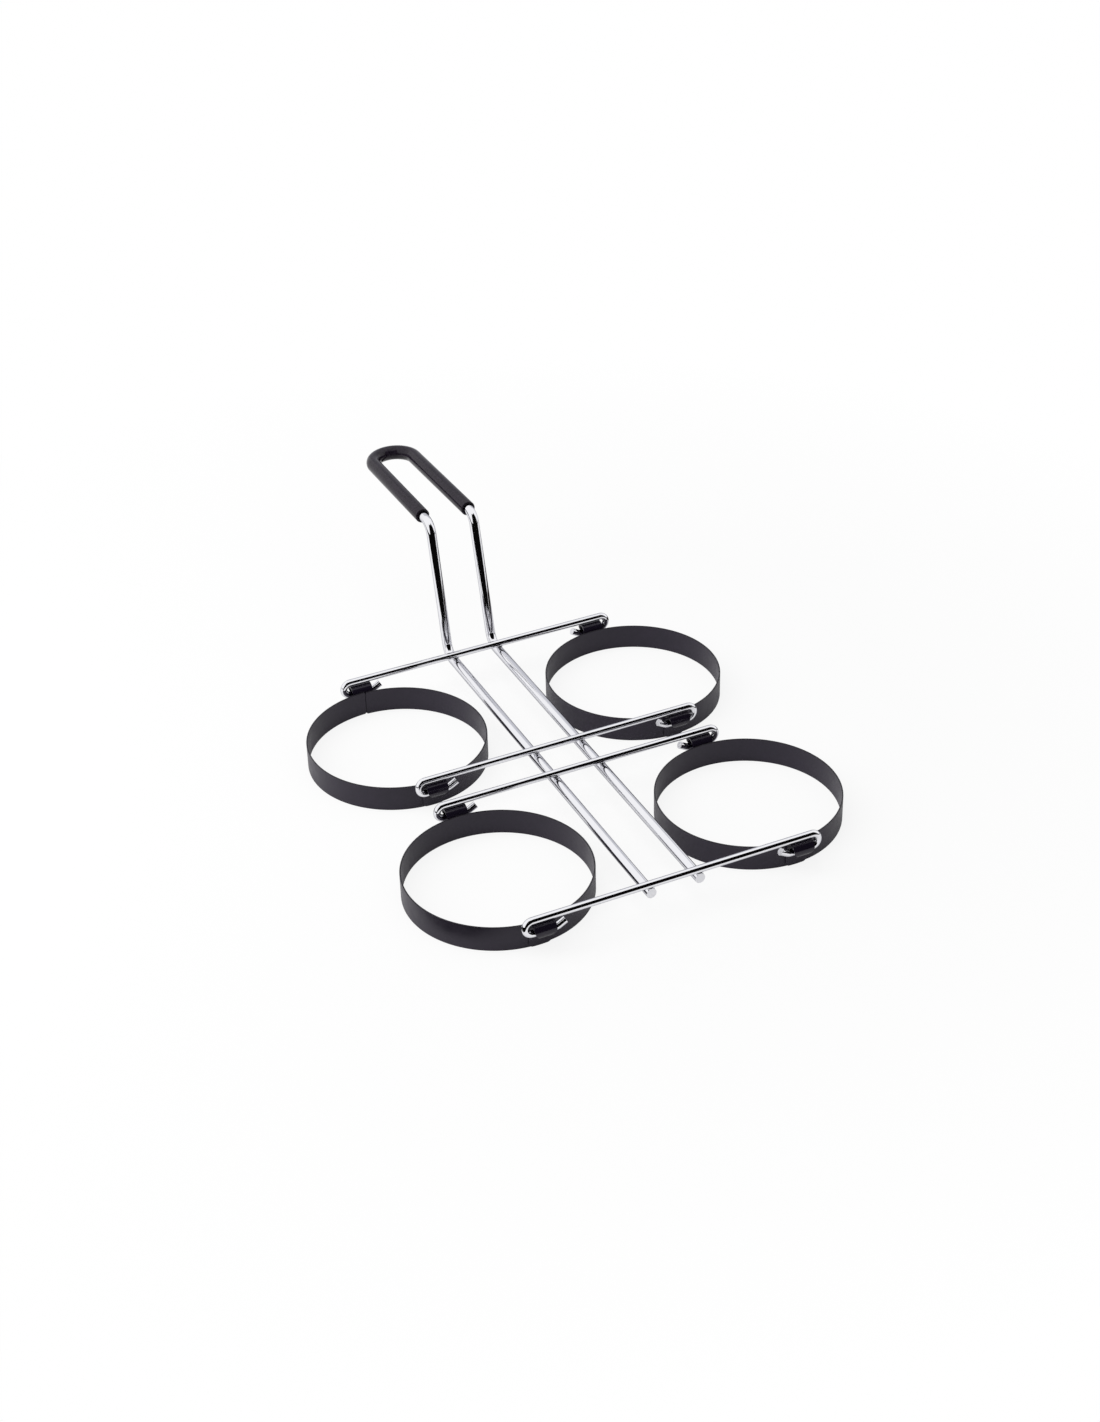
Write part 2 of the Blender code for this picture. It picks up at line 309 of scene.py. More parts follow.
@dataclass(frozen=True)
class VinylSleeve:
    """Extruded soft vinyl tube, black.

    Glossy under a fine grain that breaks its highlights up, so that it looks satin. Specks of dust
    and handling make it paler and duller in places.
    """

    name: str = "soft_vinyl"
    colour: str = "#120D16"
    dusty: str = "#2B2530"
    refraction: float = 1.53
    sheen: float = 0.24
    gloss: Pair = (0.12, 0.2)
    dust_spacing: float = 1.2 * MM
    # The grain is about 0.15 mm wide, and is drawn coarser to show.
    grain: Grain = Grain(spacing=0.55 * MM, depth=0.013 * MM, octaves=2.0)
    sag: Grain = Grain(spacing=9.0 * MM, depth=0.02 * MM, octaves=1.0)

    def build(self) -> Material:
        """Make the vinyl's material.

        Returns:
            The material.
        """
        maker = MaterialMaker(self.name)
        add, place = maker.add, maker.place
        colour = add("ShaderNodeMix", {"data_type": "RGBA", 6: linear(self.colour), 7: linear(self.dusty)},
                     {0: maker.clouds(self.dust_spacing)}).outputs[2]
        return maker.close(add(
            "ShaderNodeBsdfPrincipled", {"IOR": self.refraction, "Specular IOR Level": self.sheen},
            {"Base Color": colour, "Roughness": maker.clouds(self.dust_spacing, self.gloss),
             "Normal": maker.bumps(self.grain, place, maker.bumps(self.sag, place))}))


def evaluated_mesh(piece: Object) -> Mesh:
    """Return what an object's modifiers make of its mesh, as a plain mesh."""
    return bpy.data.meshes.new_from_object(piece.evaluated_get(bpy.context.evaluated_depsgraph_get()))


def keep_values(mesh: Mesh, name: str, values: list[float]) -> None:
    """Store one value for each point of a mesh, for a tree or a finish to read."""
    mesh.attributes.new(name, "FLOAT", "POINT").data.foreach_set("value", values)


def new_piece(name: str, mesh: Mesh, finish: Material) -> Object:
    """Make an object of a mesh, with one material, at the origin.

    Args:
        name: The object's name.
        mesh: Its mesh, in the frame's own place.
        finish: Its material.

    Returns:
        The object, linked to the scene.
    """
    mesh.name = name
    mesh.materials.clear()
    mesh.materials.append(finish)
    piece = bpy.data.objects.new(name, mesh)
    bpy.context.scene.collection.objects.link(piece)
    return piece


def lofted(name: str, rows: list[list[Point]], ring: bool = False) -> Mesh:
    """Join rows of points into a smooth sheet, or into a closed bar.

    Args:
        name: The mesh's name.
        rows: Rows of equally many points.
        ring: Whether each row closes on itself, and the first and the last row are capped.

    Returns:
        The mesh, with its points in the rows' order.
    """
    wide = len(rows[0])
    last = (len(rows) - 1) * wide
    faces = [(start + column, start + (column + 1) % wide,
              start + wide + (column + 1) % wide, start + wide + column)
             for start in range(0, last, wide) for column in range(wide if ring else wide - 1)]
    if ring:
        faces += [tuple(range(wide))[::-1], tuple(range(last, last + wide))]
    mesh = bpy.data.meshes.new(name)
    mesh.from_pydata([point for row in rows for point in row], [], faces)
    mesh.shade_smooth()
    return mesh


def walled(sheet: Object, side: Wall, thickness: float, rounding: float) -> Object:
    """Give a sheet its wall and rounded edges, as plain mesh.

    Args:
        sheet: A mesh object without thickness.
        side: Where the wall lies.
        thickness: Thickness of the wall.
        rounding: Width of the rounded edges.

    Returns:
        The same object.
    """
    wall = sheet.modifiers.new("wall", "SOLIDIFY")
    wall.thickness = thickness
    wall.offset = side.value
    edge = sheet.modifiers.new("rounded_edge", "BEVEL")
    edge.width = rounding
    edge.segments = ROUNDING_STEPS
    edge.limit_method = "ANGLE"
    edge.angle_limit = SHARP_ANGLE
    mesh = evaluated_mesh(sheet)
    sheet.modifiers.clear()
    sheet.data = mesh
    mesh.name = sheet.name
    return sheet


@dataclass
class GeometryTree:
    """A Geometry Nodes tree with named inputs, whose result is kept as a plain mesh."""

    name: str
    inputs: dict[str, str]

    def __post_init__(self) -> None:
        """Make the empty tree and its sockets."""
        self.tree = bpy.data.node_groups.new(self.name, "GeometryNodeTree")
        self.add = partial(add_node, self.tree)
        for socket_name, kind in {"Geometry": "Geometry", **self.inputs, "Finish": "Material"}.items():
            self.tree.interface.new_socket(socket_name, in_out="INPUT", socket_type=f"NodeSocket{kind}")
        self.tree.interface.new_socket("Geometry", in_out="OUTPUT", socket_type="NodeSocketGeometry")
        self.start = self.add("NodeGroupInput").outputs

    def end(self, geometry: Source) -> None:
        """Close the tree: realize, smooth and set the material.

        Args:
            geometry: The shape that the tree has made.
        """
        real = self.add("GeometryNodeRealizeInstances", links={0: geometry})
        smooth = self.add("GeometryNodeSetShadeSmooth", links={0: real})
        dressed = self.add("GeometryNodeSetMaterial", links={0: smooth, "Material": self.start["Finish"]})
        self.add("NodeGroupOutput", links={0: dressed})

    def run(self, name: str, source: Mesh, finish: Material, values: dict[str, float]) -> Object:
        """Run the tree on a mesh and keep the result.

        Args:
            name: Name of the new piece.
            source: The mesh of points or edges that the tree works on.
            finish: Material of the result.
            values: Value of each named input.

        Returns:
            A mesh object without modifiers.
        """
        guide = bpy.data.objects.new(f"{name}_guide", source)
        bpy.context.scene.collection.objects.link(guide)
        modifier = guide.modifiers.new(self.name, "NODES")
        modifier.node_group = self.tree
        settings = {**values, "Finish": finish}
        for item in self.tree.interface.items_tree:
            if item.in_out == "INPUT" and item.name in settings:
                modifier[item.identifier] = settings[item.name]
        mesh = evaluated_mesh(guide)
        bpy.data.objects.remove(guide)
        return new_piece(name, mesh, finish)


def make_sweep_tree() -> GeometryTree:
    """Make the tree that sweeps a round section along a path of edges.

    The path's points hold their share of the radius. The result holds, for the lines of a drawn
    wire, each point's place on the section and its distance along the path.

    Returns:
        The tree, with inputs for the radius, the sides and closed ends.
    """
    sweep = GeometryTree("swept_round_section", {"Radius": "Float", "Sides": "Int", "Closed Ends": "Bool"})
    add, start = sweep.add, sweep.start
    value, vector = {"data_type": "FLOAT"}, {"data_type": "FLOAT_VECTOR"}
    share, distance, across = (
        add("GeometryNodeInputNamedAttribute", {**kind, "Name": name})
        for kind, name in ((value, "radius_share"), (value, "path_length"), (vector, "section_place")))
    path = add("GeometryNodeMeshToCurve", links={0: start["Geometry"]})
    sized = add("GeometryNodeSetCurveRadius", links={"Curve": path, "Radius": share})
    measured = add("GeometryNodeStoreNamedAttribute", {**value, "Name": "path_length"},
                   {"Geometry": sized, "Value": add("GeometryNodeSplineParameter").outputs["Length"]})
    circle = add("GeometryNodeCurvePrimitiveCircle",
                 links={"Resolution": start["Sides"], "Radius": start["Radius"]})
    section = add("GeometryNodeStoreNamedAttribute", {**vector, "Name": "section_place"},
                  {"Geometry": circle, "Value": add("GeometryNodeInputPosition")})
    swept = add("GeometryNodeCurveToMesh",
                links={"Curve": measured, "Profile Curve": section, "Fill Caps": start["Closed Ends"]})
    lift = add("ShaderNodeCombineXYZ", links={"Z": distance})
    grain = add("ShaderNodeVectorMath", {"operation": "ADD"}, {0: across, 1: lift})
    sweep.end(add("GeometryNodeStoreNamedAttribute", {**vector, "Name": "wire_grain"},
                  {"Geometry": swept, "Value": grain}))
    return sweep


def make_bead_tree(turn: float = 0.35, sizes: Pair = (0.88, 1.08),
                   subdivisions: int = 4, octaves: float = 1.0) -> GeometryTree:
    """Make the tree that sets one lumpy weld bead on each point.

    Args:
        turn: Most that a bead turns either way about Z, in radians.
        sizes: Smallest and largest share of the full size.
        subdivisions: Fineness of a bead's mesh.
        octaves: Fineness of its lumps.

    Returns:
        The tree, with inputs for the bead's three half sizes, its lumps and the seed.
    """
    beads = GeometryTree("weld_beads_on_points", {
        "Half Size": "Vector", "Lump Spacing": "Float", "Lump Height": "Float", "Seed": "Int"})
    add, start = beads.add, beads.start
    ball = add("GeometryNodeMeshIcoSphere", {"Radius": 1.0, "Subdivisions": subdivisions})
    turned = add("FunctionNodeRandomValue",
                 {"data_type": "FLOAT_VECTOR", 0: (0.0, 0.0, -turn), 1: (0.0, 0.0, turn)},
                 {"Seed": start["Seed"]})
    size = add("FunctionNodeRandomValue", {"data_type": "FLOAT", 2: sizes[0], 3: sizes[1]},
               {"Seed": start["Seed"]}).outputs[1]
    scaled = add("ShaderNodeVectorMath", {"operation": "SCALE"}, {0: start["Half Size"], "Scale": size})
    placed = add("GeometryNodeInstanceOnPoints",
                 links={"Points": start["Geometry"], "Instance": ball, "Rotation": turned, "Scale": scaled})
    rate = add("ShaderNodeMath", {"operation": "DIVIDE", 0: 1.0}, {1: start["Lump Spacing"]})
    noise = add("ShaderNodeTexNoise", {"Detail": octaves}, {"Scale": rate})
    height = add("ShaderNodeMath", {"operation": "MULTIPLY"}, {0: noise, 1: start["Lump Height"]})
    offset = add("ShaderNodeVectorMath", {"operation": "SCALE"},
                 {0: add("GeometryNodeInputNormal"), "Scale": height})
    real = add("GeometryNodeRealizeInstances", links={0: placed})
    beads.end(add("GeometryNodeSetPosition", links={0: real, "Offset": offset}))
    return beads


@dataclass
class Workshop:
    """The finishes and trees that the sub-assemblies share."""

    chrome: Material = field(default_factory=lambda: ChromePlate().build())
    coating: Material = field(default_factory=lambda: NonStickCoating().build())
    vinyl: Material = field(default_factory=lambda: VinylSleeve().build())
    sweep: GeometryTree = field(default_factory=make_sweep_tree)
    beads: GeometryTree = field(default_factory=make_bead_tree)

    def tube(self, name: str, path: list[tuple[Vector, float]], radius: float, sides: int,
             finish: Material, closed: bool) -> Object:
        """Sweep a round section along a path.

        Args:
            name: Name of the new piece.
            path: The points, each with its share of the radius.
            radius: Radius of the section.
            sides: Sides of the section.
            finish: Material of the piece.
            closed: Whether the ends are closed.

        Returns:
            The piece as a mesh object.
        """
        points, shares = zip(*path)
        source = bpy.data.meshes.new(f"{name}_path")
        source.from_pydata(points, [(start, start + 1) for start in range(len(path) - 1)], [])
        keep_values(source, "radius_share", list(shares))
        keep_values(source, "cut_end", [1.0, *[0.0] * (len(path) - 2), 1.0])
        return self.sweep.run(name, source, finish, {"Radius": radius, "Sides": sides, "Closed Ends": closed})


def bend(before: Vector, corner: Vector, after: Vector, radius: float, steps: int) -> list[Vector]:
    """Round one corner of a bent wire.

    Args:
        before: The corner before this one.
        corner: The corner that is bent.
        after: The corner after it.
        radius: Radius of the bend.
        steps: Straight pieces that stand for the arc.

    Returns:
        The points of the arc.
    """
    back = (before - corner).normalized()
    ahead = (after - corner).normalized()
    reach = radius / math.tan(back.angle(ahead) / 2)
    centre = corner + (back + ahead).normalized() * math.hypot(radius, reach)
    start = (corner + back * reach - centre).normalized()
    end = (corner + ahead * reach - centre).normalized()
    return [centre + radius * start.slerp(end, step / steps) for step in range(steps + 1)]


@dataclass
class RoundWire:
    """Drawn wire: its gauge, and the rounding that the plating leaves on its cut ends."""

    diameter: float
    end_rounding: float = 0.45 * MM
    end_steps: int = 5
    bend_steps: int = 22
    sides: int = 40

    @property
    def radius(self) -> float:
        """Radius of the wire."""
        return self.diameter / 2

    def cut_end(self, tip: Vector, inner: Vector) -> list[tuple[Vector, float]]:
        """Round one cut end.

        Args:
            tip: The path's last point.
            inner: The point next to it.

        Returns:
            The points from the tip inwards, each with its share of the radius.
        """
        direction = (inner - tip).normalized()
        angles = [math.pi / 2 * step / self.end_steps for step in range(self.end_steps + 1)]
        return [(tip + direction * self.end_rounding * (1 - math.cos(angle)),
                 1 - self.end_rounding / self.radius * (1 - math.sin(angle))) for angle in angles]

    def plated_path(self, points: list[Vector]) -> list[tuple[Vector, float]]:
        """Round both cut ends of a path, and drop each point that lies on the one before it.

        Args:
            points: The wire's path, from cut end to cut end.

        Returns:
            The path's points, each with its share of the radius.
        """
        kept = [points[0]]
        for point in points[1:]:
            if (point - kept[-1]).length > self.radius * NEAREST_SHARE:
                kept.append(point)
        first, last = self.cut_end(kept[0], kept[1]), self.cut_end(kept[-1], kept[-2])
        return first + [(point, 1.0) for point in kept[1:-1]] + last[::-1]


@dataclass
class SubAssembly:
    """Pieces that move with one body, and the workshop that makes them."""

    shop: Workshop
    body: str

    def seat(self, piece: Object, slot: Slot, *nodes: str) -> None:
        """Put a finished piece on the body in place of its CAD nodes, and report it.

        Args:
            piece: The finished piece.
            slot: The record's slot for its finish; not used.
            *nodes: The CAD nodes that it stands for.
        """
        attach(piece, self.body)
        if nodes:
            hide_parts(*nodes)
        LOG.info("%s: %d faces on body %s", piece.name, len(piece.data.polygons), self.body)

    def build_wire(self, name: str, wire: RoundWire, points: list[Vector], node: str) -> None:
        """Build a plated wire and seat it.

        Args:
            name: Name of the new piece.
            wire: Its gauge and its cut ends.
            points: Its path, from cut end to cut end.
            node: The CAD node that it stands for.
        """
        piece = self.shop.tube(name, wire.plated_path(points), wire.radius, wire.sides, self.shop.chrome,
                               closed=True)
        self.seat(piece, Slot.CHROMED_WIRE, node)


@dataclass
class CrossWire(SubAssembly):
    """One cross wire with a hook at each end, plated after it was bent and welded."""

    node: str
    ear: str
    wire: RoundWire = field(default_factory=lambda: RoundWire(CROSS_WIRE_DIAMETER))
    stop_clearance: float = 0.3 * MM
    stop_bend_radius: float = 4.0 * MM
    stop_reach: float = 4.2 * MM
    stop_opening: float = 1.2 * MM

    def hook(self, side: Side) -> list[Vector]:
        """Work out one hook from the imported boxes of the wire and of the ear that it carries.

        Args:
            side: Which end of the wire.

        Returns:
            The path from the cut end of the hook's stop to the middle of the wire.
        """
        sign = side.value
        low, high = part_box(self.node)
        ear_inner_x = min(sign * corner.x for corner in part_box(f"{self.ear}_{side.name.lower()}"))
        flat = self.wire.radius * FLAT_SHARE
        leg_z, main_z = low.z + flat, high.z - flat
        turn_x = max(sign * low.x, sign * high.x) - flat
        stop_rise = main_z - leg_z - self.wire.diameter - self.stop_opening
        stop_angle = math.atan2(stop_rise, self.stop_reach)
        stop_x = ear_inner_x - self.stop_clearance - self.stop_bend_radius * math.tan(stop_angle / 2)
        tip, stop, lower, upper, centre = (
            Vector((sign * x, (low.y + high.y) / 2, z))
            for x, z in ((stop_x - self.stop_reach, leg_z + stop_rise), (stop_x, leg_z),
                         (turn_x, leg_z), (turn_x, main_z), (0.0, main_z)))
        turn, steps = (main_z - leg_z) / 2, self.wire.bend_steps
        path = [tip, *bend(tip, stop, lower, self.stop_bend_radius, steps // 2)]
        return path + bend(stop, lower, upper, turn, steps) + bend(lower, upper, centre, turn, steps)

    def build(self) -> None:
        """Build the wire from hook to hook."""
        points = self.hook(Side.LEFT) + self.hook(Side.RIGHT)[::-1]
        self.build_wire(f"{self.node}_hooked", self.wire, points, self.node)


@dataclass
class Handle(SubAssembly):
    """The frame's one bent wire, its sleeve, and the welds that hold the cross wires on it."""

    cross_wires: tuple[str, ...]
    wire: RoundWire = field(default_factory=lambda: RoundWire(
        diameter=5.0 * MM, end_rounding=0.55 * MM, bend_steps=26, sides=48))
    rail_spacing: float = 24.8 * MM
    weld_gap: float = 0.3 * MM
    heel_clearance: float = 2.9 * MM
    heel_bend_radius: float = 8.0 * MM
    upright_rise: float = 69.2 * MM
    upright_lean: float = math.radians(13.8)
    shoulder_draw_in: float = 0.8 * MM
    shoulder_bend_radius: float = 7.0 * MM
    leg_reach: float = 77.1 * MM
    leg_fall: float = 2.4 * MM
    loop_draw_in: float = 1.0 * MM
    loop_steps: int = 72
    sleeve_wall: float = 1.0 * MM
    sleeve_clearance: float = 0.3 * MM
    sleeve_lip_rounding: float = 0.28 * MM
    sleeve_sides: int = 64
    bare_leg: dict[Side, float] = field(default_factory=lambda: {Side.LEFT: 4.2 * MM, Side.RIGHT: 0.2 * MM})
    bead_half_size: Point = (1.9 * MM, 1.25 * MM, 0.75 * MM)
    bead_lump_spacing: float = 1.1 * MM
    bead_lump_height: float = 0.22 * MM
    bead_seed: int = 7

    def __post_init__(self) -> None:
        """Work out the bent wire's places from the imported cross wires."""
        low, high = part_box(self.cross_wires[0])
        cross_radius = CROSS_WIRE_DIAMETER / 2
        heel_share = math.tan((math.radians(90) - self.upright_lean) / 2)
        self.seam_z = high.z - cross_radius * FLAT_SHARE - cross_radius - self.weld_gap / 2
        self.rail_z = self.seam_z - self.weld_gap / 2 - self.wire.radius
        self.heel_y = (low.y + high.y) / 2 + self.heel_clearance + self.heel_bend_radius * heel_share
        self.shoulder_y = self.heel_y + self.upright_rise * math.tan(self.upright_lean)
        self.shoulder_z = self.rail_z + self.upright_rise
        self.loop_y, self.loop_z = self.shoulder_y + self.leg_reach, self.shoulder_z - self.leg_fall
        self.loop_radius = (self.rail_spacing - self.shoulder_draw_in - self.loop_draw_in) / 2

    def corners(self, side: Side) -> list[Vector]:
        """Find where one side of the bent wire changes its direction.

        Args:
            side: Which side.

        Returns:
            The rail's cut end, the heel, the shoulder and the start of the loop.
        """
        half, front = self.rail_spacing / 2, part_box("handle_frame")[0].y
        return [Vector((side.value * x, y, z)) for x, y, z in (
            (half, front, self.rail_z), (half, self.heel_y, self.rail_z),
            (half - self.shoulder_draw_in / 2, self.shoulder_y, self.shoulder_z),
            (self.loop_radius, self.loop_y, self.loop_z))]

    def loop(self) -> list[Vector]:
        """Work out the half circle that closes the handle, in the sloping plane of its legs.

        Returns:
            Its points, from left to right.
        """
        angles = [math.pi * step / self.loop_steps for step in range(self.loop_steps + 1)]
        reaches = [self.loop_radius * math.sin(angle) for angle in angles]
        slope = self.leg_fall / self.leg_reach
        return [Vector((-self.loop_radius * math.cos(angle), self.loop_y + reach,
                        self.loop_z - slope * reach)) for angle, reach in zip(angles, reaches)]

    def side_path(self, side: Side) -> list[Vector]:
        """Work out one rail and upright.

        Args:
            side: Which side.

        Returns:
            The path from the rail's cut end to the leg of the handle.
        """
        rail_end, heel, shoulder, start = self.corners(side)
        return [rail_end, *bend(rail_end, heel, shoulder, self.heel_bend_radius, self.wire.bend_steps),
                *bend(heel, shoulder, start, self.shoulder_bend_radius, self.wire.bend_steps)]

    def sleeve_end(self, side: Side) -> Vector:
        """Return the middle of the sleeve's end on one leg."""
        *_, shoulder, start = self.corners(side)
        return self.side_path(side)[-1] + (start - shoulder).normalized() * self.bare_leg[side]

    def build_sleeve(self) -> None:
        """Build the sleeve as an open tube with a wall and rounded lips, and seat it."""
        points = [self.sleeve_end(Side.LEFT), *self.loop(), self.sleeve_end(Side.RIGHT)]
        radius = self.wire.radius + self.sleeve_clearance + self.sleeve_wall
        sleeve = self.shop.tube("grip_sleeve", [(point, 1.0) for point in points], radius,
                                self.sleeve_sides, self.shop.vinyl, closed=False)
        self.seat(walled(sleeve, Wall.INSIDE, self.sleeve_wall, self.sleeve_lip_rounding),
                  Slot.VINYL_SLEEVE, "handle_grip")

    def build_welds(self) -> None:
        """Build one weld bead at each crossing of a cross wire and a rail, and seat them."""
        crossings = [(side.value * self.rail_spacing / 2, (low.y + high.y) / 2, self.seam_z)
                     for low, high in map(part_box, self.cross_wires) for side in Side]
        source = bpy.data.meshes.new("weld_places")
        source.from_pydata(crossings, [], [])
        piece = self.shop.beads.run("rail_weld_beads", source, self.shop.chrome, {
            "Half Size": self.bead_half_size, "Lump Spacing": self.bead_lump_spacing,
            "Lump Height": self.bead_lump_height, "Seed": self.bead_seed})
        self.seat(piece, Slot.CHROMED_WIRE)

    def build(self) -> None:
        """Build the bent wire, the sleeve and the welds."""
        points = self.side_path(Side.LEFT) + self.loop() + self.side_path(Side.RIGHT)[::-1]
        self.build_wire("handle_frame_bent_wire", self.wire, points, "handle_frame")
        self.build_sleeve()
        self.build_welds()


@dataclass
class RolledBand(SubAssembly):
    """One band: coated strip rolled into a hoop, with its butted ends behind an ear."""

    node: str
    seam: End
    seam_offset: float
    height: float = 13.0 * MM
    thickness: float = 0.7 * MM
    edge_rounding: float = 0.16 * MM
    edge_steps: int = 4
    support: float = 0.12 * MM
    joint_gap: float = 0.3 * MM
    joint_corner: float = 0.9 * MM
    corner_shares: tuple[float, ...] = (0.0, 0.08, 0.22, 0.45, 0.7, 1.0)
    joint_step: float = 0.3 * MM
    joint_step_reach: float = 9.0 * MM
    even_from: float = 1.08 * MM
    segments: int = 288

    def section(self, low: float, high: float, outer: float) -> list[Point]:
        """Work out the strip's section at one place.

        Args:
            low: Height of the lower edge.
            high: Height of the upper edge.
            outer: Radius of the outer face.

        Returns:
            For each point its radius, its height, and 1 on a rounded edge or else 0.
        """
        inner, rounding, steps = outer - self.thickness, self.edge_rounding, self.edge_steps
        points, corners = [], ((outer, low), (outer, high), (inner, high), (inner, low))
        for quarter, (radius, height) in enumerate(corners):
            upward = 1 if height == low else -1
            centre_r = radius - rounding if radius == outer else radius + rounding
            centre_z = height + upward * rounding
            angles = [math.pi / 2 * (quarter - 1 + step / steps) for step in range(steps + 1)]
            edge = [(centre_r + rounding * math.cos(angle), centre_z + rounding * math.sin(angle), 1.0)
                    for angle in angles]
            face = [(radius, centre_z + upward * self.support, 0.0)]
            points += face + edge if quarter % 2 else edge + face
        return points

    def build(self) -> None:
        """Build the band as one closed strip and seat it."""
        low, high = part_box(self.node)
        centre, outer = (low + high) / 2, (high.x - low.x) / 2
        seam_angle = self.seam.value * (math.pi / 2 - self.seam_offset / outer)
        length = math.tau * outer - self.joint_gap
        near_end = [self.joint_corner * share for share in self.corner_shares]
        evenly = [length * step / self.segments for step in range(self.segments + 1)]
        rows, rim_shade_mask = [], []
        for distance in (*near_end, *[d for d in evenly if self.even_from < d < length - self.even_from],
                         *[length - d for d in near_end[::-1]]):
            short = max(0.0, self.joint_corner - min(distance, length - distance))
            cut = self.joint_corner - math.sqrt(self.joint_corner ** 2 - short ** 2)
            lift = self.joint_step * math.exp(-distance / self.joint_step_reach)
            angle = seam_angle + (distance + self.joint_gap / 2) / outer
            section = self.section(low.z + cut + lift, low.z + self.height - cut + lift, outer)[::-1]
            rows.append([(centre.x + radius * math.cos(angle), centre.y + radius * math.sin(angle), height)
                         for radius, height, _ in section])
            # 1 on the rounded edges, which the coating paints with a near-black shade.
            rim_shade_mask += [share for _, _, share in section]
        mesh = lofted(self.node, rows, ring=True)
        mesh.set_sharp_from_angle(angle=SHARP_ANGLE)
        keep_values(mesh, "rim", rim_shade_mask)
        piece = new_piece(f"{self.node}_strip", mesh, self.shop.coating)
        self.seat(piece, Slot.COATED_STEEL, self.node)


@dataclass
class CurledEar(SubAssembly):
    """One ear: a strip seated on the band, curled out over the hook's leg and ending in a tongue."""

    node: str
    band: str
    end: End
    thickness: float = 0.8 * MM
    eye_radius: float = 3.8 * MM
    eye_height: float = 11.85 * MM
    weld_gap: float = 0.3 * MM
    seat_depth: float = 0.03 * MM
    curl_end: float = math.radians(54)
    foot_height: float = 0.4 * MM
    foot_corner: float = 1.4 * MM
    tongue_corner: Pair = (5.0 * MM, 4.9 * MM)
    hug_from: float = 6.0 * MM
    edge_rounding: float = 0.2 * MM
    foot_rows: int = 22
    curl_rows: int = 64
    columns: int = 26

    def leaving(self, height: float) -> float:
        """Return how far the foot has left the band at a height, smoothly from 0 to 1."""
        share = min(max((height - self.hug_from) / (self.eye_height - self.hug_from), 0.0), 1.0)
        return share * share * (3 - 2 * share)

    def profile(self) -> list[Point]:
        """Work out the strip's middle line from its foot to its tongue.

        Returns:
            For each point its distance out from the band's face, its height, and how far the
            strip has left the band there.
        """
        hugging = self.thickness / 2 - self.seat_depth
        free = self.thickness / 2 + self.weld_gap
        line = []
        for row in range(self.foot_rows):
            height = self.foot_height + (self.eye_height - self.foot_height) * row / self.foot_rows
            share = self.leaving(height)
            line.append((hugging + (free - hugging) * share, height, share))
        radius = self.eye_radius - self.thickness / 2
        for row in range(self.curl_rows + 1):
            angle = math.pi - (math.pi + self.curl_end) * row / self.curl_rows
            line.append((free + radius + radius * math.cos(angle),
                         self.eye_height + radius * math.sin(angle), 1.0))
        return line

    def half_width(self, full: float, from_foot: float, from_tip: float) -> float:
        """Work out half the strip's width, which the corners of its foot and tongue narrow.

        Args:
            full: Half the width of the plain strip.
            from_foot: Distance from the foot's edge.
            from_tip: Distance from the tongue's edge.

        Returns:
            Half the width at that place.
        """
        corners = ((from_foot, self.foot_corner, self.foot_corner), (from_tip, *self.tongue_corner))
        cuts = [across * (1 - math.sqrt(1 - max(0.0, 1 - distance / along) ** 2))
                for distance, along, across in corners]
        return full - max(cuts)

    def build(self) -> None:
        """Build the ear and seat it."""
        low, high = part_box(self.node)
        band_low, band_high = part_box(self.band)
        outer, band_y = (band_high.x - band_low.x) / 2, (band_low.y + band_high.y) / 2
        centre_x, full = (low.x + high.x) / 2, (high.x - low.x) / 2
        sign, line = self.end.value, self.profile()
        steps = [math.dist(first[:2], second[:2]) for first, second in zip(line, line[1:])]
        rows, curled = [], []
        for index, (distance, height, free) in enumerate(line):
            half = self.half_width(full, sum(steps[:index]), sum(steps[index:]))
            row = []
            for column in range(self.columns + 1):
                across = sign * half * (1 - 2 * column / self.columns)
                sunk = (1 - free) * (outer - math.sqrt(outer ** 2 - across ** 2))
                row.append((centre_x + across, band_y + sign * (outer + distance - sunk), height))
            rows.append(row)
            curled += [free] * len(row)
        mesh = lofted(self.node, rows)
        keep_values(mesh, "curled", curled)
        sheet = new_piece(f"{self.node}_curl", mesh, self.shop.coating)
        self.seat(walled(sheet, Wall.BOTH_SIDES, self.thickness, self.edge_rounding),
                  Slot.COATED_STEEL, self.node)


@dataclass
class EggRing:
    """One ring: its band and the two ears that hang it in its hooks."""

    shop: Workshop
    place: str
    seam: End
    seam_offset: float

    def build(self) -> None:
        """Build the ring's pieces on their own body."""
        body, band = f"ring_{self.place}", f"band_{self.place}"
        RolledBand(self.shop, body, band, self.seam, self.seam_offset).build()
        for end in End:
            CurledEar(self.shop, body, f"{end.name.lower()}_side_ear_{self.place}", band, end).build()


@dataclass(frozen=True)
class Card:
    """Plain glowing card that only reflections see."""

    name: str
    colour: str

    def rows(self) -> list[list[Point]]:
        """Return the card's points, row by row."""
        raise NotImplementedError

    def build(self) -> None:
        """Set the card up and hide it from all but reflections."""
        material = bpy.data.materials.new(self.name)
        tree = empty_tree(material)
        glow = add_node(tree, "ShaderNodeEmission", {"Color": linear(self.colour)})
        add_node(tree, "ShaderNodeOutputMaterial", links={"Surface": glow})
        sheet = new_piece(self.name, lofted(self.name, self.rows()), material)
        sheet.visible_camera = False
        sheet.visible_diffuse = False
        sheet.visible_shadow = False


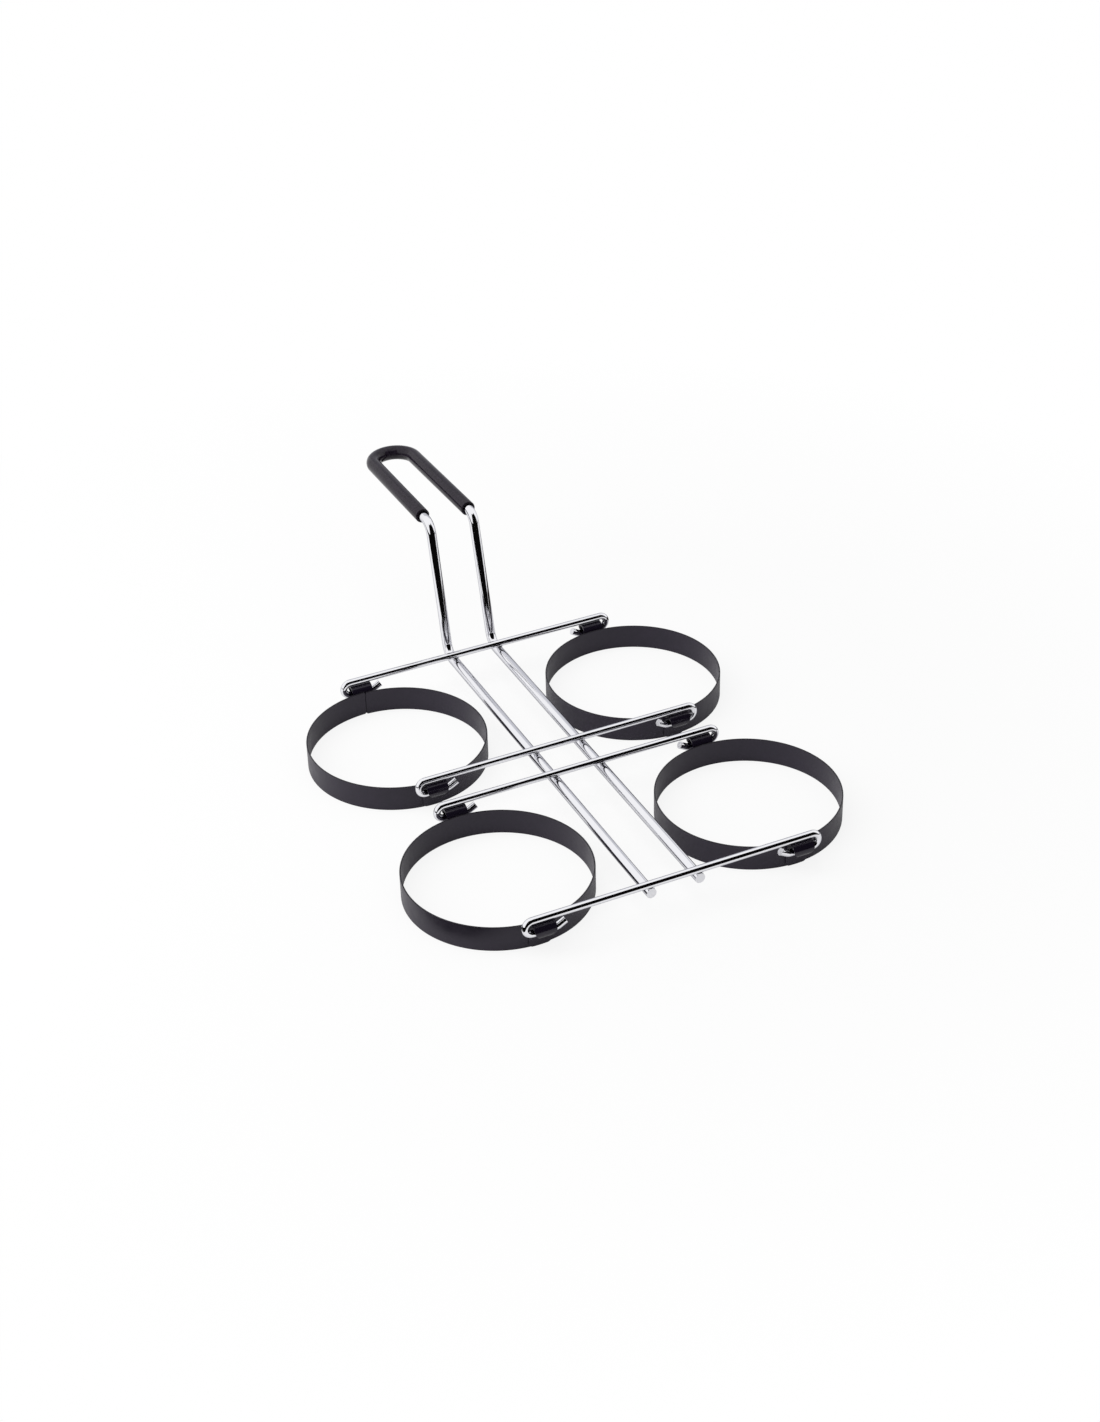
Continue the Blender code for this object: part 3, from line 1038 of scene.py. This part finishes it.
@dataclass(frozen=True)
class WallCard(Card):
    """Standing card, a patch of a sphere round the origin.

    Its directions are in degrees from the front, -Y, turning towards +X, and its heights are in
    degrees above the table.
    """

    distance: float
    directions: Pair
    heights: Pair
    steps: int = 16

    def rows(self) -> list[list[Point]]:
        """Work out the card's points.

        Returns:
            The points, row by row from the table up.
        """
        turns, heights = ([math.radians(first + (last - first) * step / self.steps)
                           for step in range(self.steps + 1)]
                          for first, last in (self.directions, self.heights))
        return [[(self.distance * math.cos(height) * math.sin(turn),
                  -self.distance * math.cos(height) * math.cos(turn),
                  self.distance * math.sin(height)) for turn in turns] for height in heights]


@dataclass(frozen=True)
class TableCard(Card):
    """Card lying just over the table, beyond a line at a reach from the origin.

    Its direction is in degrees from the front, -Y, turning towards +X.
    """

    direction: float
    reach: float
    lift: float
    depth: float = 2.6
    half_width: float = 3.0

    def rows(self) -> list[list[Point]]:
        """Work out the card's corners.

        Returns:
            The near and the far two.
        """
        turn = math.radians(self.direction)
        out = Vector((math.sin(turn), -math.cos(turn), 0.0))
        aside = Vector((math.cos(turn), math.sin(turn), 0.0)) * self.half_width
        lifted = Vector((0.0, 0.0, self.lift))
        return [[tuple(out * away + aside * side + lifted) for side in (-1, 1)]
                for away in (self.reach, self.reach + self.depth)]


@dataclass(frozen=True)
class Softbox:
    """Softbox that faces the origin, and that neither the camera nor reflections see."""

    name: str
    place: Point
    size: Pair
    watts: float

    def build(self) -> None:
        """Hang the softbox."""
        data = bpy.data.lights.new(self.name, "AREA")
        data.shape = "RECTANGLE"
        data.size, data.size_y = self.size
        data.energy = self.watts
        lamp = bpy.data.objects.new(self.name, data)
        lamp.location = self.place
        lamp.rotation_euler = Vector(self.place).to_track_quat("Z", "Y").to_euler()
        lamp.visible_camera = False
        lamp.visible_glossy = False
        bpy.context.scene.collection.objects.link(lamp)


@dataclass
class Studio:
    """White table with a white surround, a softbox above and one at the left, and cards.

    The cards stand for the dark room round the table, and draw the black and grey streaks on the
    chrome.
    """

    target: Vector = field(default_factory=lambda: Vector((14.97 * MM, 21.08 * MM, 0.0)))
    azimuth: float = math.radians(-23.99)
    elevation: float = math.radians(32.94)
    roll: float = math.radians(-1.89)
    distance: float = 1240.97 * MM
    lens: float = 60.78
    shift: Pair = (0.01448, -0.00796)
    floor_half: float = 4.0
    white: str = "#FFFFFF"
    table: str = "#F4F4F4"
    table_for_light: str = "#D0D0D0"
    surround_strength: float = 0.45
    shadow_share: float = 0.14
    mirrored_shadow_share: float = 0.8
    shadow_fade: Pair = (0.2, 0.45)
    cards: tuple[Card, ...] = (
        WallCard("front_black_card", "#0A0909", distance=2.2, directions=(-52.0, 60.0), heights=(0.0, 66.0)),
        TableCard("front_table_card", "#0A0909", direction=15.0, reach=0.25, lift=1.0 * MM),
        TableCard("left_table_card", "#0A0909", direction=-57.0, reach=0.17, lift=1.4 * MM),
        TableCard("right_table_card", "#2A2420", direction=105.0, reach=0.11, lift=1.8 * MM, depth=0.09,
                  half_width=0.2),
        WallCard("rear_grey_card", "#D4D5DA", distance=0.75, directions=(130.0, 182.0), heights=(0.0, 42.0)))
    softboxes: tuple[Softbox, ...] = (
        Softbox("overhead_softbox", place=(-0.35, 0.1, 1.5), size=(1.3, 1.3), watts=9.5),
        Softbox("left_softbox", place=(-0.8, 0.25, 0.6), size=(0.6, 0.7), watts=4.5))

    def build_camera(self) -> None:
        """Set the camera where the photograph was taken from."""
        data = bpy.data.cameras.new("camera")
        data.lens = self.lens
        data.shift_x, data.shift_y = self.shift
        camera = bpy.data.objects.new("camera", data)
        camera.matrix_world = (
            Matrix.Translation(self.target) @ Matrix.Rotation(self.azimuth, 4, "Z")
            @ Matrix.Rotation(math.pi / 2 - self.elevation, 4, "X") @ Matrix.Rotation(self.roll, 4, "Z")
            @ Matrix.Translation((0.0, 0.0, self.distance)))
        bpy.context.scene.collection.objects.link(camera)
        bpy.context.scene.camera = camera

    def ray_shares(self, tree: NodeTree) -> tuple[Node, Node]:
        """Tell the rays that see the studio from those that only light it.

        Args:
            tree: The tree of the world or of a material.

        Returns:
            A node that gives 1 for reflected and refracted rays, and one that gives 1 for these
            and for the camera's own.
        """
        add = partial(add_node, tree)
        rays = add("ShaderNodeLightPath").outputs
        mirrored = add("ShaderNodeMath", {"operation": "MAXIMUM"},
                       {0: rays["Is Glossy Ray"], 1: rays["Is Transmission Ray"]})
        return mirrored, add("ShaderNodeMath", {"operation": "MAXIMUM"},
                             {0: rays["Is Camera Ray"], 1: mirrored})

    def build_world(self) -> None:
        """Make the surround: white where it is seen, and a plain level where it only lights."""
        world = bpy.data.worlds.new("surround")
        bpy.context.scene.world = world
        tree = empty_tree(world)
        add = partial(add_node, tree)
        lighting, shown = (add("ShaderNodeBackground", {"Color": linear(self.white), "Strength": strength})
                           for strength in (self.surround_strength, 1.0))
        mixed = add("ShaderNodeMixShader", links={0: self.ray_shares(tree)[1], 1: lighting, 2: shown})
        add("ShaderNodeOutputWorld", links={"Surface": mixed})

    def build_table(self) -> None:
        """Make the white table, which keeps the object's shadow and fades it out further off."""
        maker = MaterialMaker("white_table")
        add = maker.add
        mirrored, seen = self.ray_shares(maker.tree)
        glow = add("ShaderNodeEmission", {"Color": linear(self.white)})
        lit, plain = (add("ShaderNodeBsdfDiffuse", {"Color": linear(colour)})
                      for colour in (self.table, self.table_for_light))
        away = add("ShaderNodeVectorMath", {"operation": "LENGTH"}, {0: maker.place}).outputs["Value"]
        near, far = self.shadow_fade
        fade = add("ShaderNodeMapRange", {1: near, 2: far, 3: 1.0, 4: 0.0}, {0: away})
        share = add("ShaderNodeMix", {"data_type": "FLOAT", 2: self.shadow_share,
                                      3: self.mirrored_shadow_share}, {0: mirrored})
        shadow = add("ShaderNodeMath", {"operation": "MULTIPLY"}, {0: share, 1: fade})
        shown = add("ShaderNodeMixShader", links={0: shadow, 1: glow, 2: lit})
        material = maker.close(add("ShaderNodeMixShader", links={0: seen, 1: plain, 2: shown}))
        half = self.floor_half
        mesh = lofted("white_table", [[(x, y, 0.0) for x in (-half, half)] for y in (-half, half)])
        new_piece("white_table", mesh, material)

    def build(self) -> None:
        """Build the whole studio."""
        self.build_camera()
        self.build_world()
        self.build_table()
        for item in (*self.cards, *self.softboxes):
            item.build()
        bpy.context.scene.view_settings.view_transform = "Standard"


def main() -> None:
    """Build the studio and every sub-assembly in order."""
    logging.basicConfig(level=logging.INFO, format="%(name)s: %(message)s")
    Studio().build()
    shop = Workshop()
    # Each cross wire carries the same ear of the left and the right ring.
    carried = {"rear_cross_wire": "handle_side_ear_rear", "mid_rear_cross_wire": "tip_side_ear_rear",
               "mid_front_cross_wire": "handle_side_ear_front", "front_cross_wire": "tip_side_ear_front"}
    Handle(shop, "frame", tuple(carried)).build()
    for node, ear in carried.items():
        CrossWire(shop, "frame", node, ear).build()
    for ring in (EggRing(shop, "rear_left", seam=End.HANDLE, seam_offset=0.7 * MM),
                 EggRing(shop, "rear_right", seam=End.TIP, seam_offset=-1.2 * MM),
                 EggRing(shop, "front_left", seam=End.TIP, seam_offset=-1.3 * MM),
                 EggRing(shop, "front_right", seam=End.TIP, seam_offset=-2.7 * MM)):
        ring.build()


if __name__ == "__main__":
    main()
